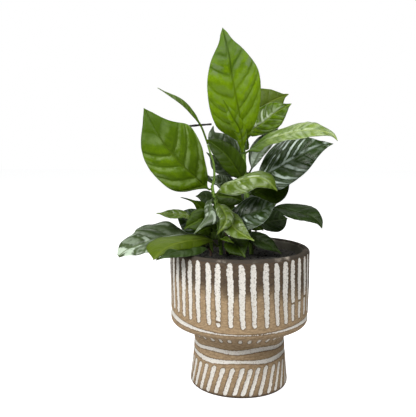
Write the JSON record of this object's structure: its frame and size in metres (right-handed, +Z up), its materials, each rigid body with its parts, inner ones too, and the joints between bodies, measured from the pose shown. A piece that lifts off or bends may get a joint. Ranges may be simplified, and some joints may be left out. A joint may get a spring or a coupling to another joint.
{
  "type": "potted coffee plant",
  "caption": "Young coffee plant with pointed glossy leaves on thin green stems, growing in soil in a round ceramic pot with a flared foot.",
  "frame": {"origin": "centre of the flat underside of the pot's foot", "axes": "+Z up along the pot's axis, -Y towards the plant's fullest side, +X to the right as seen from there"},
  "size_m": [0.2352, 0.2022, 0.3782],
  "materials": {
    "pot_ceramic": "matte",
    "potting_soil": "matte",
    "green_stem": "satin",
    "woody_stem": "matte",
    "young_leaf": "satin",
    "mature_leaf": "satin",
    "glossy_leaf": "gloss"
  },
  "bodies": {
    "root": {"pot": "pot_ceramic", "soil": "potting_soil", "stem_main": "green_stem", "stem_left": "green_stem", "stem_back": "green_stem", "stem_low": "green_stem", "stem_right": "green_stem", "seedling_left": "woody_stem", "seedling_middle": "woody_stem", "seedling_right": "woody_stem", "seedling_back": "woody_stem", "dry_twig": "woody_stem", "leaf_top": "young_leaf", "leaf_top_small": "young_leaf", "leaf_right_pale": "young_leaf", "leaf_right_big": "glossy_leaf", "leaf_inner_dark": "mature_leaf", "leaf_right_under": "mature_leaf", "leaf_centre_round": "mature_leaf", "leaf_far_right": "mature_leaf", "leaf_right_round": "mature_leaf", "leaf_inner_curled": "glossy_leaf", "leaf_thin_shoot": "young_leaf", "leaf_left_big": "mature_leaf", "leaf_front_light": "young_leaf", "leaf_young_folded": "young_leaf", "leaf_young_open": "young_leaf", "leaf_left_upper": "mature_leaf", "leaf_front_grey": "glossy_leaf", "leaf_left_pointed": "mature_leaf", "leaf_left_bright": "mature_leaf", "leaf_over_rim_left": "mature_leaf", "leaf_under_rim_left": "glossy_leaf", "leaf_soil_small": "mature_leaf", "leaf_low_wavy": "glossy_leaf", "leaf_left_small": "young_leaf", "leaf_left_dark": "mature_leaf", "leaf_left_shade": "mature_leaf", "leaf_left_inner": "mature_leaf", "leaf_right_shade": "mature_leaf", "leaf_low_glossy": "glossy_leaf", "leaf_over_rim_right": "mature_leaf", "leaf_soil_glossy": "glossy_leaf", "leaf_back_upper": "mature_leaf", "leaf_back_ribbed": "glossy_leaf", "leaf_right_grey": "glossy_leaf", "leaf_inner_grey": "glossy_leaf", "leaf_inner_ribbed": "young_leaf", "leaf_rear_top": "mature_leaf", "leaf_rear_left": "mature_leaf", "leaf_rear_right": "glossy_leaf", "leaf_rear_middle": "mature_leaf", "leaf_back_shade": "mature_leaf", "leaf_rear_low_left": "glossy_leaf", "leaf_rear_low_right": "mature_leaf"}
  },
  "joints": []
}
